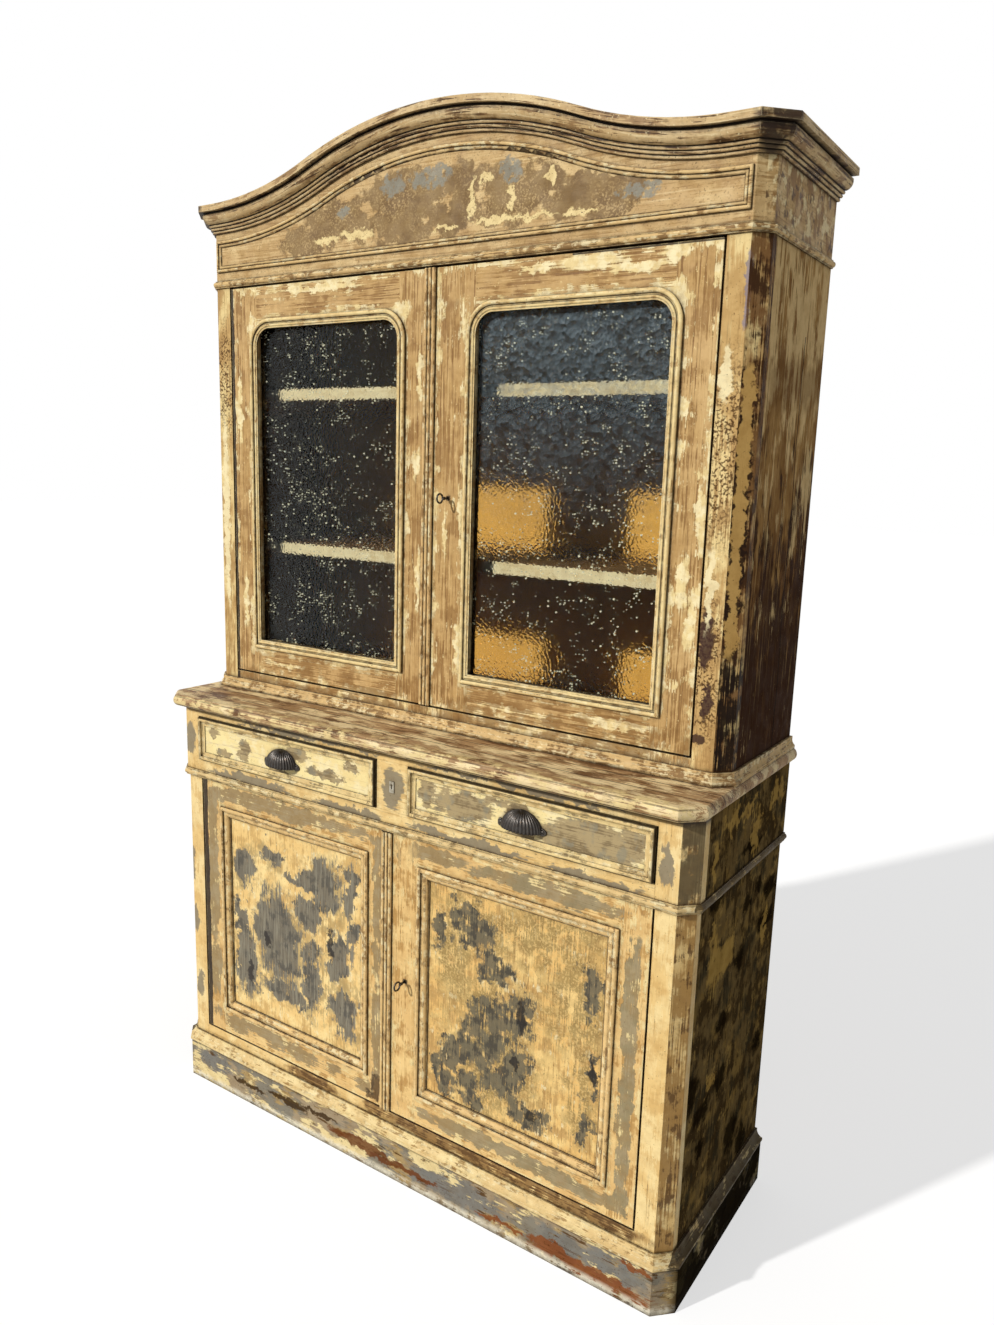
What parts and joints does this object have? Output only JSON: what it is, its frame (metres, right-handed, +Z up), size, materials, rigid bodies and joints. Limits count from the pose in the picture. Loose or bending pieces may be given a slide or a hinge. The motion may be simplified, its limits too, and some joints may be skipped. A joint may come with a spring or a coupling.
{
  "type": "hutch",
  "caption": "Painted farmhouse hutch: glazed cupboard with an arched cornice on a base with cup-pull drawers over panelled doors",
  "frame": {"origin": "on the floor under the middle of the bounding box", "axes": "X to the right as seen from the front, front towards -Y, Z up"},
  "size_m": [1.378, 0.5, 2.1869],
  "materials": {
    "cream_paint": "worn cream paint over tan wood",
    "ochre_paint": "worn ochre paint with blue-grey patches",
    "olive_paint": "dark olive-brown streaked paint",
    "bare_wood": "old bare softwood",
    "black_iron": "dull black iron",
    "hammered_glass": "hammered clear glass"
  },
  "bodies": {
    "case": {"plinth_boards": "olive_paint", "plinth_cap_moulding": "cream_paint", "lower_posts": "cream_paint", "lower_sides": "olive_paint", "lower_back": "bare_wood", "lower_bottom": "bare_wood", "lower_shelf": "bare_wood", "lower_rails": "cream_paint", "drawer_divider": "cream_paint", "drawer_runners": "bare_wood", "waist_moulding": "cream_paint", "counter_boards": "cream_paint", "counter_edge": "cream_paint", "drawer_keyhole_plate": "black_iron", "shelf_cleats": "bare_wood", "pivot_pins": "black_iron", "upper_base_moulding": "cream_paint", "upper_posts": "cream_paint", "upper_sides": "olive_paint", "upper_bottom": "bare_wood", "upper_top": "bare_wood", "upper_back": "bare_wood", "upper_shelves": "bare_wood", "upper_rails": "cream_paint", "frieze_boards": "cream_paint", "frieze_frame_moulding": "cream_paint", "frieze_base_moulding": "cream_paint", "cornice": "cream_paint"},
    "left_drawer": {"left_drawer_front": "cream_paint", "left_drawer_box": "bare_wood", "left_drawer_moulding": "cream_paint", "left_drawer_pull": "black_iron", "left_drawer_pull_screws": "black_iron"},
    "lower_left_door": {"lower_left_door_frame": "cream_paint", "lower_left_door_panel": "ochre_paint", "lower_left_door_moulding": "cream_paint", "lower_left_door_astragal": "cream_paint"},
    "upper_left_door": {"upper_left_door_frame": "cream_paint", "upper_left_door_glass": "hammered_glass", "upper_left_door_glass_beads": "bare_wood", "upper_left_door_glazing_moulding": "cream_paint", "upper_left_door_astragal": "cream_paint"},
    "right_drawer": {"right_drawer_front": "cream_paint", "right_drawer_box": "bare_wood", "right_drawer_moulding": "cream_paint", "right_drawer_pull": "black_iron", "right_drawer_pull_screws": "black_iron"},
    "lower_right_door": {"lower_right_door_frame": "cream_paint", "lower_right_door_panel": "ochre_paint", "lower_right_door_moulding": "cream_paint", "lower_lock": "black_iron"},
    "upper_right_door": {"upper_right_door_frame": "cream_paint", "upper_right_door_glass": "hammered_glass", "upper_right_door_glass_beads": "bare_wood", "upper_right_door_glazing_moulding": "cream_paint", "upper_lock": "black_iron"},
    "lower_bolt": {"lower_bolt": "black_iron"},
    "lower_key": {"lower_key": "black_iron"},
    "upper_bolt": {"upper_bolt": "black_iron"},
    "upper_key": {"upper_key": "black_iron"}
  },
  "joints": [
    {"name": "upper_left_door_hinge", "type": "hinge", "parent": "case", "child": "upper_left_door", "pos_m": [-0.574, -0.088, 1.032], "axis": [0, 0, -1], "range_deg": [0, 105]},
    {"name": "lower_left_door_hinge", "type": "hinge", "parent": "case", "child": "lower_left_door", "pos_m": [-0.574, -0.204, 0.149], "axis": [0, 0, -1], "range_deg": [0, 105]},
    {"name": "left_drawer_slide", "type": "slide", "parent": "case", "child": "left_drawer", "axis": [0, -1, 0], "range_m": [0, 0.3]},
    {"name": "upper_right_door_hinge", "type": "hinge", "parent": "case", "child": "upper_right_door", "pos_m": [0.574, -0.088, 1.032], "axis": [0, 0, 1], "range_deg": [0, 105]},
    {"name": "lower_right_door_hinge", "type": "hinge", "parent": "case", "child": "lower_right_door", "pos_m": [0.574, -0.204, 0.149], "axis": [0, 0, 1], "range_deg": [0, 105]},
    {"name": "right_drawer_slide", "type": "slide", "parent": "case", "child": "right_drawer", "axis": [0, -1, 0], "range_m": [0, 0.3]},
    {"name": "upper_key_turn", "type": "hinge", "parent": "upper_right_door", "child": "upper_key", "pos_m": [0.036, -0.096, 1.462], "axis": [0, 1, 0], "range_deg": [0, 180]},
    {"name": "upper_bolt_slide", "type": "slide", "parent": "upper_right_door", "child": "upper_bolt", "axis": [-1, 0, 0], "range_m": [0, 0.012]},
    {"name": "lower_key_turn", "type": "hinge", "parent": "lower_right_door", "child": "lower_key", "pos_m": [0.036, -0.212, 0.466], "axis": [0, 1, 0], "range_deg": [0, 180]},
    {"name": "lower_bolt_slide", "type": "slide", "parent": "lower_right_door", "child": "lower_bolt", "axis": [-1, 0, 0], "range_m": [0, 0.012]}
  ],
  "couplings": [
    {"joint": "upper_key_turn", "follows": "upper_bolt_slide", "rad_per_m": 261.8},
    {"joint": "lower_key_turn", "follows": "lower_bolt_slide", "rad_per_m": 261.8}
  ]
}
